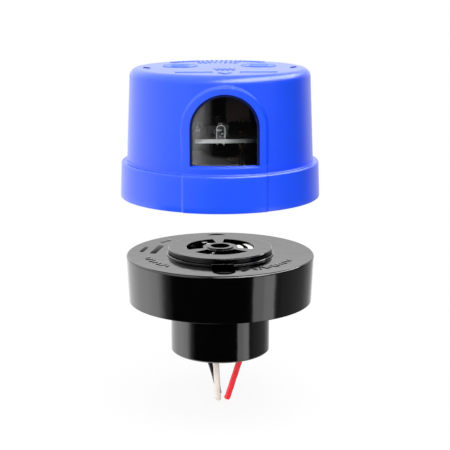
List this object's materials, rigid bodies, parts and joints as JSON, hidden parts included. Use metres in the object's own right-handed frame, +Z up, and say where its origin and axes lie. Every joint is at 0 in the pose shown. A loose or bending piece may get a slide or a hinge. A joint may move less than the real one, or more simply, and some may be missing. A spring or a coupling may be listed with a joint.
{
  "type": "photocell switch",
  "caption": "Twist-lock photocell switch: a round plug-in head with an arched window, lifted above the flanged receptacle it locks into, with short leads.",
  "frame": {"origin": "on the common axis, in the plane of the flange's underside where the neck begins", "axes": "+Z up along the axis from the receptacle to the head, -Y toward the side that the window faces"},
  "size_m": [0.0846, 0.0851, 0.148],
  "materials": {
    "blue_shell": "moulded, semi-gloss",
    "smoked_pane": "polished, smoked",
    "matte_black": "moulded, matt",
    "black_shell": "moulded, gloss",
    "plated_steel": "zinc plated",
    "gasket_rubber": "sponge rubber",
    "brass": "stamped",
    "tinned_contact": "tin plated",
    "board": "paper laminate",
    "clear_resin": "cast, clear",
    "relay_case": "moulded",
    "film_case": "moulded",
    "can_sleeve": "shrunk sleeve",
    "varistor_coat": "dipped",
    "chip_case": "moulded",
    "resistor_coat": "dipped",
    "black_insulation": "extruded",
    "white_insulation": "extruded",
    "red_insulation": "extruded"
  },
  "bodies": {
    "receptacle": {"flange_body": "black_shell", "neck_tube": "black_shell", "hub_cover": "black_shell", "contact_block": "black_shell", "contact_base": "black_shell", "retaining_ring": "plated_steel", "line_contact": "tinned_contact", "load_contact": "tinned_contact", "neutral_contact": "tinned_contact", "lead_plate": "matte_black", "black_lead": "black_insulation", "white_lead": "white_insulation", "red_lead": "red_insulation"},
    "gasket": {"gasket": "gasket_rubber"},
    "head": {"housing": "blue_shell", "window_pane": "smoked_pane", "base_plate": "matte_black", "base_screws": "plated_steel", "line_blade": "brass", "load_blade": "brass", "neutral_blade": "brass", "blade_rivets": "brass", "circuit_board": "board", "board_screws": "plated_steel", "light_sensor": "clear_resin", "component_legs": "tinned_contact", "relay": "relay_case", "film_capacitor": "film_case", "electrolytic_capacitor": "can_sleeve", "surge_varistor": "varistor_coat", "control_chip": "chip_case", "resistors": "resistor_coat", "diodes": "chip_case"}
  },
  "joints": [
    {"name": "head_lift", "type": "slide", "parent": "receptacle", "child": "gasket", "axis": [0, 0, 1], "range_m": [-0.0325, 0]},
    {"name": "head_turn", "type": "hinge", "parent": "gasket", "child": "head", "pos_m": [0, 0, 0.056], "axis": [0, 0, 1], "range_deg": [-35, 0]}
  ]
}
